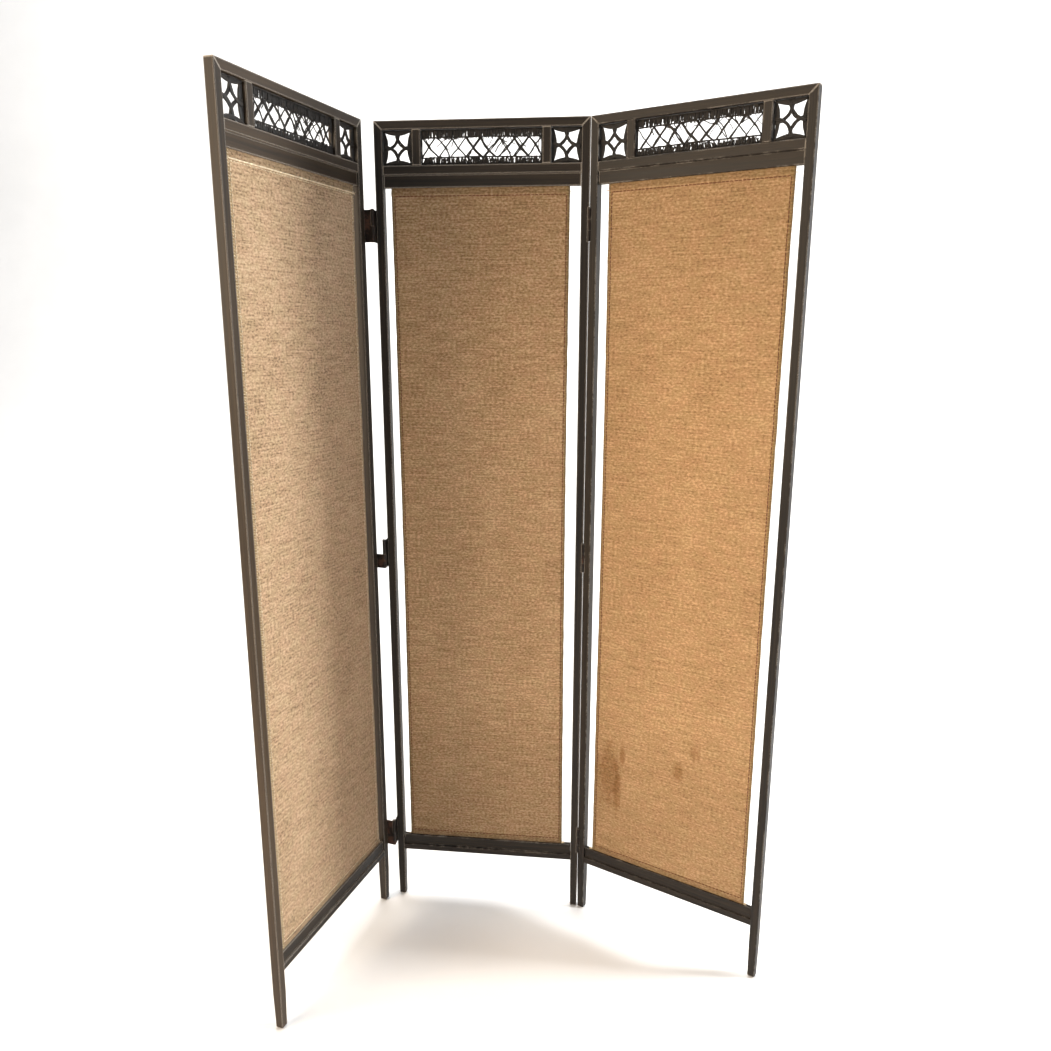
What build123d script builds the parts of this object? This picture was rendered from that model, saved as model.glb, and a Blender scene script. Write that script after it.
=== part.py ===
from build123d import *
from math import radians, sqrt, tan
import os

os.makedirs("parts", exist_ok=True)

# A free-standing folding screen of three framed panels, in millimetres and degrees.
# Each panel has its own frame: X along the panel from its left edge, Y from its front
# face to its back, Z up from the floor. The viewer stands on the -Y side.

# Panel frame
panel_height = 1780
panel_width = 440
stock_face = 17
frame_depth = 19
edge_radius = 1.2
foot_length = 80
foot_face = 15.5
foot_bevel = 3

# Rails, mullions and their joints
cell_height = 68
corner_cell_width = 61
mullion_width = 18
mid_rail_height = 18.5
bottom_rail_height = 15
bottom_rail_lift = 125
rail_inset = 1
rail_bevel = 1.5
tenon_length = 8
tenon_thickness = 6
tenon_shoulder = 3
joint_clearance = 0.15

# Battens and the cloth that they hold
batten_height = 24.5
batten_depth = 11
batten_bevel = 0.8
batten_end_gap = 0.8
kerf_depth = 8
cloth_thickness = 1.4
selvedge_width = 7
selvedge_thickness = 2
hem_thickness = 2.4
top_hem = 21
bottom_hem = 17
cloth_clearance = 0.4

# Gaps between each panel's stiles and the left and right edges of its cloth
cloth_side_gaps = {"left": (9, 10), "center": (15, 22), "right": (19.5, 17.5)}

# Fretwork in the cells under the top rail
fret_depth = 5
fret_clearance = 0.2
fret_border = 2
side_arc_rise = 7.5
corner_arc_share = 0.55
corner_arc_width = 6
upper_band = 16
lower_band = 14
stick_width = 3.2
stick_pitch = 4.4
strand_width = 3
crossing_count = 8

# Hinges, common sizes
hinge_height = 64
hinge_top_drop = 204
hinge_bottom_lift = 180
leaf_thickness = 1.5
leaf_seat = 15
knuckle_wall = 1.4
knuckle_gap = 0.4
butt_knuckle_count = 3
running_clearance = 0.05
swing_clearance = 0.4
pin_head_height = 1.6

# Left hinge line: flag hinges whose pins stand out in front of the panels
flag_pin_radius = 2.1
fold_clearance = 12.5
left_rest_angle = 76.3

# Right hinge line: butt hinges let into the stiles; the pins' shift keeps the folded wing off the left hinges
butt_pin_radius = 1.4
right_panel_gap = 0.4
right_pin_reach = 0.4
right_pin_shift = 0.25
right_rest_angle = 26.5

# Countersunk wood screws
screw_radius = 1.5
screw_head_radius = 3
countersink_angle = 90
screw_slot_width = 0.8
screw_slot_depth = 0.7
leaf_screw_length = 13
leaf_screw_share = 0.6
batten_screw_bite = 10

# Heights and widths that follow from the sizes above
top_rail_bottom = panel_height - stock_face
cell_bottom = top_rail_bottom - cell_height
mid_rail_bottom = cell_bottom - mid_rail_height
upper_batten_bottom = mid_rail_bottom - batten_height
lower_batten_bottom = bottom_rail_lift + bottom_rail_height
lower_batten_top = lower_batten_bottom + batten_height
inner_width = panel_width - 2 * stock_face
rail_depth = frame_depth - 2 * rail_inset
long_cell_width = inner_width - 2 * (corner_cell_width + mullion_width)
mid_depth = frame_depth / 2
kerf_width = hem_thickness + 2 * cloth_clearance
hinge_levels = {
    "top": panel_height - hinge_top_drop,
    "middle": (panel_height - hinge_top_drop + hinge_bottom_lift) / 2,
    "bottom": hinge_bottom_lift,
}
hinge_half = hinge_height / 2
flag_knuckle_height = hinge_half - knuckle_gap / 2
butt_knuckle_pitch = hinge_height / butt_knuckle_count
screw_head_depth = (screw_head_radius - screw_radius) / tan(radians(countersink_angle / 2))
upper_screw_length = mid_rail_height + batten_screw_bite
lower_screw_length = bottom_rail_height + batten_screw_bite

# The pins: the right wing folds first, and the left wing folds over it
flag_knuckle_radius = flag_pin_radius + knuckle_wall
butt_knuckle_radius = butt_pin_radius + knuckle_wall
left_panel_gap = 2 * flag_knuckle_radius
left_pin_reach = right_pin_reach + (frame_depth + fold_clearance) / 2

# Sides of a panel, as the sign of the direction that the side faces
LEFT = -1
RIGHT = 1


def outer_edge(side):
    """X of a panel's outer left or right edge."""
    return panel_width if side == RIGHT else 0


def flag_pin_spot(side):
    """X and Y of the left hinge line's pin, in the frame of the panel on either side of it."""
    return (outer_edge(side) + side * flag_knuckle_radius, -left_pin_reach)


def butt_pin_spot(side):
    """X and Y of the right hinge line's pin, in the frame of the panel on either side of it."""
    return (outer_edge(side) + side * right_panel_gap / 2 + right_pin_shift, -right_pin_reach)


def folded_place(pin, angle, shift):
    """Place of a wing: laid flat beside the center panel, then swung about its pin."""
    return pin * Rot(0, 0, angle) * pin.inverse() * Pos(shift, 0, 0)


def centered_places():
    """Places of the panels, with the origin under the middle of the standing screen."""
    left_pin = Pos(*flag_pin_spot(LEFT), 0)
    right_pin = Pos(*butt_pin_spot(RIGHT), 0)
    places = {
        "left": folded_place(left_pin, left_rest_angle, -panel_width - left_panel_gap),
        "center": Pos(0, 0, 0),
        "right": folded_place(right_pin, -right_rest_angle, panel_width + right_panel_gap),
    }
    near = edge_radius
    far_x = panel_width - edge_radius
    far_y = frame_depth - edge_radius
    corners = [(near, near), (far_x, near), (far_x, far_y), (near, far_y)]
    points = [(place * Pos(x, y, 0)).position for place in places.values() for x, y in corners]
    middle_x = (min(point.X for point in points) + max(point.X for point in points)) / 2
    middle_y = (min(point.Y for point in points) + max(point.Y for point in points)) / 2
    origin = Pos(-middle_x, -middle_y, 0)
    return {name: origin * place for name, place in places.items()}


places = centered_places()


def level_plane(place, z):
    """Level plane of a panel at height z, looking up."""
    return Plane(place * Pos(0, 0, z))


def front_plane(place, y):
    """Upright plane at depth y, facing the viewer, with sketch axes along X and Z."""
    return Plane(place * Plane.XZ.offset(-y).location)


def side_plane(place, x, side):
    """Upright plane across the panel at x, facing one side, with sketch axes side*Y and Z."""
    return Plane(place * Plane(origin=(x, 0, 0), x_dir=(0, side, 0), z_dir=(side, 0, 0)).location)


def drill(planes, length):
    """Countersunk clearance holes for screws driven in at the planes."""
    with Locations(*planes):
        CounterSinkHole(
            screw_radius + joint_clearance,
            screw_head_radius + joint_clearance,
            depth=length + joint_clearance,
            counter_sink_angle=countersink_angle,
        )


def save(piece, name):
    """Label a finished piece and write it to its own file."""
    piece.part.label = name
    export_step(piece.part, f"parts/{name}.step")


def make_screws(drives):
    """Slotted countersunk screws, from (planes, length) pairs."""
    top = (Align.CENTER, Align.CENTER, Align.MAX)
    slot = (screw_slot_width, 2 * screw_head_radius, screw_slot_depth)
    with BuildPart() as screws:
        for planes, length in drives:
            with Locations(*planes):
                Cone(screw_radius, screw_head_radius, screw_head_depth, align=top)
                Cylinder(screw_radius, length, align=top)
                Box(*slot, align=top, mode=Mode.SUBTRACT)
    return screws


# Where the screws go
def leaf_screw_planes(place, side, hinge, leaves):
    """Screw places on a stile's hinge leaves, two to a leaf, from (bottom, height) pairs."""
    proud = leaf_thickness if hinge == "flag" else 0
    face = side_plane(place, outer_edge(side) + side * proud, side)
    shares = ((1 - leaf_screw_share) / 2, (1 + leaf_screw_share) / 2)
    heights = [bottom + share * height for bottom, height in leaves for share in shares]
    return [Plane(face.location * Pos(side * mid_depth, z, 0)) for z in heights]


def batten_screw_planes(place, z, facing):
    """Screw places in the middle of each cell, on a rail's face that looks up or down."""
    first = stock_face + corner_cell_width / 2
    spots = [first, panel_width / 2, panel_width - first]
    return [Plane(place * Plane((x, mid_depth, z), z_dir=(0, 0, facing)).location) for x in spots]


# Frame pieces
def make_stile(place, side, hinge, leaves):
    """Upright with a tapered foot, a mitred top, mortises, and seats for its hinge leaves."""
    edge = outer_edge(side)
    inner = edge - side * stock_face
    center = (edge - side * stock_face / 2, mid_depth)
    with BuildPart() as stile:
        with BuildSketch(level_plane(place, foot_length)):
            with Locations(center):
                RectangleRounded(stock_face, frame_depth, edge_radius)
        extrude(amount=panel_height - foot_length)
        foot_sections = (
            (foot_length, stock_face, frame_depth),
            (foot_bevel, foot_face, foot_face),
            (0, foot_face - 2 * foot_bevel, foot_face - 2 * foot_bevel),
        )
        for height, width, depth in foot_sections:
            with BuildSketch(level_plane(place, height)):
                with Locations(center):
                    RectangleRounded(width, depth, edge_radius)
        loft(ruled=True)

        # Mitre that meets the top rail
        with BuildSketch(front_plane(place, frame_depth)):
            with BuildLine():
                Polyline(
                    (edge, panel_height), (inner, panel_height), (inner, top_rail_bottom), close=True
                )
            make_face()
        extrude(amount=frame_depth, mode=Mode.SUBTRACT)

        # Mortises for the tenons of the three rails
        rails = (
            (top_rail_bottom, stock_face),
            (mid_rail_bottom, mid_rail_height),
            (bottom_rail_lift, bottom_rail_height),
        )
        with BuildSketch(side_plane(place, inner, side)):
            for bottom, height in rails:
                with Locations((side * mid_depth, bottom + height / 2)):
                    Rectangle(
                        tenon_thickness + 2 * joint_clearance,
                        height - 2 * tenon_shoulder + 2 * joint_clearance,
                    )
        extrude(amount=tenon_length + joint_clearance, mode=Mode.SUBTRACT)

        # Hinge seats
        if hinge == "butt":
            with BuildSketch(side_plane(place, edge - side * leaf_thickness, side)):
                with Locations(*[(side * leaf_seat / 2, bottom + hinge_half) for bottom, _ in leaves]):
                    Rectangle(leaf_seat + 2 * joint_clearance, hinge_height + 2 * joint_clearance)
            extrude(amount=leaf_thickness, mode=Mode.SUBTRACT)
            notch_levels = [level_plane(place, bottom - swing_clearance) for bottom, _ in leaves]
            with BuildSketch(*notch_levels):
                with Locations(butt_pin_spot(side)):
                    Circle(butt_knuckle_radius + swing_clearance)
            extrude(amount=hinge_height + pin_head_height + 2 * swing_clearance, mode=Mode.SUBTRACT)
        if hinge:
            drill(leaf_screw_planes(place, side, hinge, leaves), leaf_screw_length)
    return stile


def mullion_centers():
    """X of the middles of the two mullions."""
    first = stock_face + corner_cell_width + mullion_width / 2
    return (first, panel_width - first)


def mullion_mortises(place, z, facing):
    """Sketch of the mullion mortises in a rail's face at height z, facing up or down."""
    plane = Plane(place * Plane((0, mid_depth, z), x_dir=(1, 0, 0), z_dir=(0, 0, facing)).location)
    with BuildSketch(plane) as mortises:
        with Locations(*[(x, 0) for x in mullion_centers()]):
            Rectangle(
                mullion_width - 2 * tenon_shoulder + 2 * joint_clearance,
                tenon_thickness + 2 * joint_clearance,
            )
    return mortises.sketch


def make_top_rail(place):
    """Rail with the stiles' own section, mitred at both ends, with hidden tenons."""
    with BuildPart() as rail:
        with BuildSketch(side_plane(place, 0, RIGHT)):
            with Locations((mid_depth, top_rail_bottom + stock_face / 2)):
                RectangleRounded(frame_depth, stock_face, edge_radius)
        extrude(amount=panel_width)
        with BuildSketch(front_plane(place, frame_depth)):
            for side in (LEFT, RIGHT):
                edge = outer_edge(side)
                inner = edge - side * stock_face
                with BuildLine():
                    Polyline(
                        (edge, panel_height), (edge, top_rail_bottom), (inner, top_rail_bottom), close=True
                    )
                make_face()
        extrude(amount=frame_depth, mode=Mode.SUBTRACT)
        with BuildSketch(side_plane(place, stock_face - tenon_length, RIGHT)):
            with Locations((mid_depth, top_rail_bottom + stock_face / 2)):
                Rectangle(tenon_thickness, stock_face - 2 * tenon_shoulder)
        extrude(amount=inner_width + 2 * tenon_length)
        mortises = mullion_mortises(place, top_rail_bottom, -1)
        extrude(mortises, amount=-tenon_length - joint_clearance, mode=Mode.SUBTRACT)
    return rail


def make_rail(place, bottom, height, screw_planes, screw_length, carries_mullions):
    """Bevelled rail between the stiles, tenoned at both ends and drilled for batten screws."""
    middle = (mid_depth, bottom + height / 2)
    with BuildPart() as rail:
        with BuildSketch(side_plane(place, stock_face, RIGHT)) as section:
            with Locations(middle):
                Rectangle(rail_depth, height)
            chamfer(section.vertices(), rail_bevel)
        extrude(amount=inner_width)
        with BuildSketch(side_plane(place, stock_face - tenon_length, RIGHT)):
            with Locations(middle):
                Rectangle(tenon_thickness, height - 2 * tenon_shoulder)
        extrude(amount=inner_width + 2 * tenon_length)
        drill(screw_planes, screw_length)
        if carries_mullions:
            mortises = mullion_mortises(place, cell_bottom, 1)
            extrude(mortises, amount=-tenon_length - joint_clearance, mode=Mode.SUBTRACT)
    return rail


def make_mullion(place, x):
    """Short upright between the mid rail and the top rail, with a tenon at each end."""
    with BuildPart() as mullion:
        with BuildSketch(level_plane(place, cell_bottom)) as section:
            with Locations((x, mid_depth)):
                Rectangle(mullion_width, rail_depth)
            chamfer(section.vertices(), rail_bevel)
        extrude(amount=cell_height)
        with BuildSketch(level_plane(place, cell_bottom - tenon_length)):
            with Locations((x, mid_depth)):
                Rectangle(mullion_width - 2 * tenon_shoulder, tenon_thickness)
        extrude(amount=cell_height + 2 * tenon_length)
    return mullion


# Battens and cloth
def make_batten(place, bottom, kerf_bottom, screw_planes, screw_length):
    """Flat bar that grips one end of the cloth in a kerf along its edge."""
    with BuildPart() as batten:
        with BuildSketch(side_plane(place, stock_face + batten_end_gap, RIGHT)) as section:
            with Locations((mid_depth, bottom + batten_height / 2)):
                Rectangle(batten_depth, batten_height)
            chamfer(section.vertices(), batten_bevel)
            with Locations((mid_depth, kerf_bottom + kerf_depth / 2)):
                Rectangle(kerf_width, kerf_depth, mode=Mode.SUBTRACT)
        extrude(amount=inner_width - 2 * batten_end_gap)
        drill(screw_planes, screw_length)
    return batten


def make_cloth(place, left_gap, right_gap):
    """Taut cloth with stitched hems at both ends and thicker selvedges at its sides."""
    tuck = kerf_depth - cloth_clearance
    bottom = lower_batten_top - tuck
    top = upper_batten_bottom + tuck
    left = stock_face + left_gap
    width = inner_width - left_gap - right_gap
    corner = (Align.MIN, Align.MIN)
    with BuildPart() as cloth:
        with BuildSketch(front_plane(place, mid_depth)):
            with Locations((left, bottom)):
                Rectangle(width, top - bottom, align=corner)
        extrude(amount=cloth_thickness / 2, both=True)
        with BuildSketch(front_plane(place, mid_depth)):
            with Locations((left, bottom), (left + width - selvedge_width, bottom)):
                Rectangle(selvedge_width, top - bottom, align=corner)
        extrude(amount=selvedge_thickness / 2, both=True)
        with BuildSketch(front_plane(place, mid_depth)):
            with Locations((left, bottom)):
                Rectangle(width, tuck + bottom_hem, align=corner)
            with Locations((left, top - tuck - top_hem)):
                Rectangle(width, tuck + top_hem, align=corner)
        extrude(amount=hem_thickness / 2, both=True)
    return cloth


# Fretwork
def make_corner_fret(place, x):
    """Fret with a web bowed in from each side and a bent strand round each corner."""
    width = corner_cell_width - 2 * fret_clearance
    height = cell_height - fret_clearance
    half_w = (width - fret_border) / 2
    half_h = (height - fret_border) / 2
    reach_w = 2 * half_w * corner_arc_share
    reach_h = 2 * half_h * corner_arc_share
    slant = sqrt(0.5)
    plane = front_plane(place, mid_depth + fret_depth / 2)
    with BuildPart() as fret:
        with BuildSketch(Plane(plane.location * Pos(x, cell_bottom + height / 2, 0))):
            Rectangle(width, height)
            Rectangle(width - 2 * fret_border, height - 2 * fret_border, mode=Mode.SUBTRACT)
            for sign in (LEFT, RIGHT):
                bows = (
                    ((-half_w, sign * half_h), (0, sign * (half_h - side_arc_rise)), (half_w, sign * half_h)),
                    ((sign * half_w, -half_h), (sign * (half_w - side_arc_rise), 0), (sign * half_w, half_h)),
                )
                for start, middle, end in bows:
                    with BuildLine():
                        ThreePointArc(start, middle, end)
                        Line(end, start)
                    make_face()
            for slope in (LEFT, RIGHT):
                with BuildLine():
                    for sign in (LEFT, RIGHT):
                        ThreePointArc(
                            (sign * half_w, slope * sign * (half_h - reach_h)),
                            (sign * (half_w - slant * reach_w), slope * sign * (half_h - slant * reach_h)),
                            (sign * (half_w - reach_w), slope * sign * half_h),
                        )
                trace(line_width=corner_arc_width)
        extrude(amount=fret_depth)
    return fret


def make_long_fret(place):
    """Long fret: close rows of short sticks at top and bottom, crossed strands between them."""
    width = long_cell_width - 2 * fret_clearance
    height = cell_height - fret_clearance
    stick_count = int((width - 2 * fret_border) / stick_pitch)
    upper_line = height / 2 - fret_border - upper_band + strand_width / 2
    lower_line = fret_border + lower_band - strand_width / 2 - height / 2
    strand_run = (width - 2 * strand_width) / crossing_count
    plane = front_plane(place, mid_depth + fret_depth / 2)
    with BuildPart() as fret:
        with BuildSketch(Plane(plane.location * Pos(panel_width / 2, cell_bottom + height / 2, 0))):
            Rectangle(width, height)
            Rectangle(width - 2 * fret_border, height - 2 * fret_border, mode=Mode.SUBTRACT)
            for line, band, end in ((upper_line, upper_band, Align.MIN), (lower_line, lower_band, Align.MAX)):
                stick_length = band - (strand_width - fret_border) / 2
                with Locations((0, line)):
                    Rectangle(width, strand_width)
                    with GridLocations(stick_pitch, 0, stick_count, 1):
                        Rectangle(stick_width, stick_length, align=(Align.CENTER, end))
            for near_line, far_line in ((lower_line, upper_line), (upper_line, lower_line)):
                with BuildLine():
                    for index in range(crossing_count):
                        start = -width / 2 + strand_width + index * strand_run
                        Line((start, near_line), (start + strand_run, far_line))
                trace(line_width=strand_width)
        extrude(amount=fret_depth)
    return fret


# Hinges
def make_flag_leaf(place, side, bottom, height, knuckle_bottom):
    """Plate on the stile's outer face that reaches forward to one long knuckle, clear of the other one."""
    plate_middle = (outer_edge(side) + side * leaf_thickness / 2, (leaf_seat - left_pin_reach) / 2)
    spot = flag_pin_spot(side)
    with BuildPart() as leaf:
        with BuildSketch(level_plane(place, bottom)):
            with Locations(plate_middle):
                Rectangle(leaf_thickness, leaf_seat + left_pin_reach)
            with Locations(spot):
                Circle(flag_knuckle_radius + swing_clearance, mode=Mode.SUBTRACT)
        extrude(amount=height)
        with BuildSketch(level_plane(place, knuckle_bottom)):
            with Locations(plate_middle):
                Rectangle(leaf_thickness, leaf_seat + left_pin_reach)
            with Locations(spot):
                Circle(flag_knuckle_radius)
                Circle(flag_pin_radius + running_clearance, mode=Mode.SUBTRACT)
        extrude(amount=flag_knuckle_height)
        drill(leaf_screw_planes(place, side, "flag", [(bottom, height)]), leaf_screw_length)
    return leaf


def make_butt_leaf(place, side, bottom, first_knuckle):
    """Butt leaf let into the stile, with every second knuckle its own and room for the others."""
    spot = butt_pin_spot(side)
    plate_reach = right_pin_reach - running_clearance
    plate_middle = (outer_edge(side) - side * leaf_thickness / 2, (leaf_seat - plate_reach) / 2)
    with BuildPart() as leaf:
        with BuildSketch(level_plane(place, bottom)):
            with Locations(plate_middle):
                Rectangle(leaf_thickness, leaf_seat + plate_reach)
        extrude(amount=hinge_height)
        for index in range(butt_knuckle_count):
            start = bottom + index * butt_knuckle_pitch
            if index % 2 == first_knuckle:
                with BuildSketch(level_plane(place, start + knuckle_gap / 2)):
                    with Locations(spot):
                        Circle(butt_knuckle_radius)
                extrude(amount=butt_knuckle_pitch - knuckle_gap)
            else:
                with BuildSketch(level_plane(place, start)):
                    with Locations(spot):
                        Circle(butt_knuckle_radius + swing_clearance)
                extrude(amount=butt_knuckle_pitch, mode=Mode.SUBTRACT)
        with BuildSketch(level_plane(place, bottom)):
            with Locations(spot):
                Circle(butt_pin_radius + running_clearance)
        extrude(amount=hinge_height, mode=Mode.SUBTRACT)
        drill(leaf_screw_planes(place, side, "butt", [(bottom, hinge_height)]), leaf_screw_length)
    return leaf


def make_pins(place, spot, radius, head_radius):
    """One headed pin for each hinge of a line, dropped in from above."""
    with BuildPart() as pins:
        for level in hinge_levels.values():
            with BuildSketch(level_plane(place, level - hinge_half)):
                with Locations(spot):
                    Circle(radius)
            extrude(amount=hinge_height)
            with BuildSketch(level_plane(place, level + hinge_half)):
                with Locations(spot):
                    Circle(head_radius)
            extrude(amount=pin_head_height)
    return pins


# Bottom and height of each leaf: all are as tall as their hinge, but for the left wing's middle one
full_leaves = {name: (level - hinge_half, hinge_height) for name, level in hinge_levels.items()}
left_wing_leaves = full_leaves | {"middle": (full_leaves["middle"][0], flag_knuckle_height)}

# Each panel's hinged stiles: the hinge's kind, and the leaves that it carries
hinged_stiles = {
    ("left", RIGHT): ("flag", left_wing_leaves),
    ("center", LEFT): ("flag", full_leaves),
    ("center", RIGHT): ("butt", full_leaves),
    ("right", LEFT): ("butt", full_leaves),
}
side_names = {LEFT: "left", RIGHT: "right"}

for panel, place in places.items():
    leaf_screws = []
    for side, side_name in side_names.items():
        hinge, leaves = hinged_stiles.get((panel, side), (None, {}))
        save(make_stile(place, side, hinge, leaves.values()), f"{panel}_panel_{side_name}_stile")
        if hinge:
            planes = leaf_screw_planes(place, side, hinge, leaves.values())
            leaf_screws.append((planes, leaf_screw_length))
    save(make_screws(leaf_screws), f"{panel}_panel_hinge_screws")

    upper_planes = batten_screw_planes(place, cell_bottom, 1)
    lower_planes = batten_screw_planes(place, bottom_rail_lift, -1)
    mid_rail = make_rail(
        place, mid_rail_bottom, mid_rail_height, upper_planes, upper_screw_length, carries_mullions=True
    )
    bottom_rail = make_rail(
        place, bottom_rail_lift, bottom_rail_height, lower_planes, lower_screw_length, carries_mullions=False
    )
    upper_batten = make_batten(
        place, upper_batten_bottom, upper_batten_bottom, upper_planes, upper_screw_length
    )
    lower_batten = make_batten(
        place, lower_batten_bottom, lower_batten_top - kerf_depth, lower_planes, lower_screw_length
    )
    drives = [(upper_planes, upper_screw_length), (lower_planes, lower_screw_length)]
    save(make_top_rail(place), f"{panel}_panel_top_rail")
    save(mid_rail, f"{panel}_panel_mid_rail")
    save(bottom_rail, f"{panel}_panel_bottom_rail")
    save(upper_batten, f"{panel}_panel_upper_batten")
    save(lower_batten, f"{panel}_panel_lower_batten")
    save(make_screws(drives), f"{panel}_panel_batten_screws")
    save(make_cloth(place, *cloth_side_gaps[panel]), f"{panel}_panel_woven_cloth")

    corner_cell_middle = stock_face + corner_cell_width / 2
    cell_middles = {LEFT: corner_cell_middle, RIGHT: panel_width - corner_cell_middle}
    mullion_middles = dict(zip((LEFT, RIGHT), mullion_centers()))
    for side, side_name in side_names.items():
        save(make_mullion(place, mullion_middles[side]), f"{panel}_panel_{side_name}_mullion")
        save(make_corner_fret(place, cell_middles[side]), f"{panel}_panel_{side_name}_fret")
    save(make_long_fret(place), f"{panel}_panel_center_fret")

center = places["center"]
for name, level in hinge_levels.items():
    bottom, height = full_leaves[name]
    upper_leaf = make_flag_leaf(center, LEFT, bottom, height, level + knuckle_gap / 2)
    lower_leaf = make_flag_leaf(places["left"], RIGHT, *left_wing_leaves[name], bottom)
    save(upper_leaf, f"left_{name}_hinge_center_leaf")
    save(lower_leaf, f"left_{name}_hinge_wing_leaf")
    save(make_butt_leaf(center, RIGHT, bottom, 0), f"right_{name}_hinge_center_leaf")
    save(make_butt_leaf(places["right"], LEFT, bottom, 1), f"right_{name}_hinge_wing_leaf")
save(make_pins(center, flag_pin_spot(LEFT), flag_pin_radius, flag_knuckle_radius), "left_hinge_pins")
save(make_pins(center, butt_pin_spot(RIGHT), butt_pin_radius, butt_knuckle_radius), "right_hinge_pins")

print("left pin axis at", (center * Pos(*flag_pin_spot(LEFT), 0)).position)
print("right pin axis at", (center * Pos(*butt_pin_spot(RIGHT), 0)).position)
for panel, place in places.items():
    print(panel, "front left floor corner at", place.position)
    for side in (LEFT, RIGHT):
        foot = place * Pos(outer_edge(side) - side * stock_face / 2, mid_depth, 0)
        print(panel, side_names[side], "foot center at", foot.position)
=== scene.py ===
"""Looks of a folding room divider screen: stained wood, woven cloth, bent-twig frets and worn hinges."""

from dataclasses import dataclass
import math
import random

import bpy
from bpy.props import FloatProperty, FloatVectorProperty, IntProperty, PointerProperty
from mathutils import Matrix, Vector, noise


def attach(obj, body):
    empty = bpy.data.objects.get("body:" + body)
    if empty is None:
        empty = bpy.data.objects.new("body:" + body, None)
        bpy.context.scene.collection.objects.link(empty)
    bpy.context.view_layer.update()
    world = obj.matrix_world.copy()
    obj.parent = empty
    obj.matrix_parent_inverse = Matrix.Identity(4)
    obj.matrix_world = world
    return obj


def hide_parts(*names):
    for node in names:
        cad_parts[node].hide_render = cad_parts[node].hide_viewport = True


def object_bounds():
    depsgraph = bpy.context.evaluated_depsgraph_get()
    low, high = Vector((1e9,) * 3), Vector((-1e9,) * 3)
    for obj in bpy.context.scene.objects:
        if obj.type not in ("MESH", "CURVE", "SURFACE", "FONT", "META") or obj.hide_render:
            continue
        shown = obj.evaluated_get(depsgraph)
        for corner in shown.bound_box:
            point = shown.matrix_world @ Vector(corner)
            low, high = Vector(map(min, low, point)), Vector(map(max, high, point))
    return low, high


bl_info = {
    "name": "Folding Screen Dresser",
    "version": (1, 0, 0),
    "blender": (4, 5, 0),
    "location": "View3D > Sidebar > Folding Screen",
    "description": "Gives a folding room divider its wood, cloth, frets, hinges and stage",
    "category": "Object",
}

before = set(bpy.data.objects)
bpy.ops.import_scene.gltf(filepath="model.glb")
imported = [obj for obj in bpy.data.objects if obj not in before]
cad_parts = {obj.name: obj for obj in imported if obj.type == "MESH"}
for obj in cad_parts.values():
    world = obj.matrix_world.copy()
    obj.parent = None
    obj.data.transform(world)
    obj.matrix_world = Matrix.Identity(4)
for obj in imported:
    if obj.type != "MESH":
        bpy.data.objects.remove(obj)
CAD_LOW, CAD_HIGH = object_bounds()

PANELS = ("left", "center", "right")
UPRIGHTS = ("left_stile", "right_stile", "left_mullion", "right_mullion")
HIGH_RAILS = ("top_rail", "mid_rail", "upper_batten")
LOW_RAILS = ("bottom_rail", "lower_batten")
FOOT_SLICE = 0.0005
FOCAL_SHARE = 853.26 / 1051


# Where each panel stands
def foot_center(stile):
    """Middle of a stile's underside, from the points of its lowest slice."""
    points = [vertex.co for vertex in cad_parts[stile].data.vertices]
    floor = min(point.z for point in points)
    low = [point for point in points if point.z < floor + FOOT_SLICE]
    return sum(low, Vector()) / len(low)


def panel_place(panel):
    """Matrix from a panel's own axes to the frame: X along it, Y to its back, Z up from its feet's middle."""
    left = foot_center(f"{panel}_panel_left_stile")
    right = foot_center(f"{panel}_panel_right_stile")
    along = (right - left).normalized()
    up = Vector((0, 0, 1))
    place = Matrix((along, up.cross(along), up)).transposed().to_4x4()
    place.translation = (left + right) / 2
    return place


PLACES = {panel: panel_place(panel) for panel in PANELS}


def own_box(panel, piece):
    """Lowest and highest corner of one of a panel's nodes, along the panel's own axes."""
    to_panel = PLACES[panel].inverted()
    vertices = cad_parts[f"{panel}_panel_{piece}"].data.vertices
    points = [to_panel @ vertex.co for vertex in vertices]
    low = Vector([min(point[axis] for point in points) for axis in range(3)])
    high = Vector([max(point[axis] for point in points) for axis in range(3)])
    return low, high


# Settings that a user would change
def setting(kind, **options):
    """A function that makes a property of this kind from its name, description and default."""
    def make(name, description, default):
        return kind(name=name, description=description, default=default, **options)
    return make


color = setting(FloatVectorProperty, subtype="COLOR", size=3, min=0, max=1)
shares = setting(FloatVectorProperty, size=3, min=0, max=1)
location = setting(FloatVectorProperty, subtype="TRANSLATION", unit="LENGTH", size=3)
length = setting(FloatProperty, unit="LENGTH", precision=4)
factor = setting(FloatProperty, subtype="FACTOR", min=0, max=1)
angle = setting(FloatProperty, subtype="ANGLE")
power = setting(FloatProperty, subtype="POWER")
plain = setting(FloatProperty)
crossing_count = setting(IntProperty, min=2)
wisp_count = setting(IntProperty, min=0)


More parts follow.
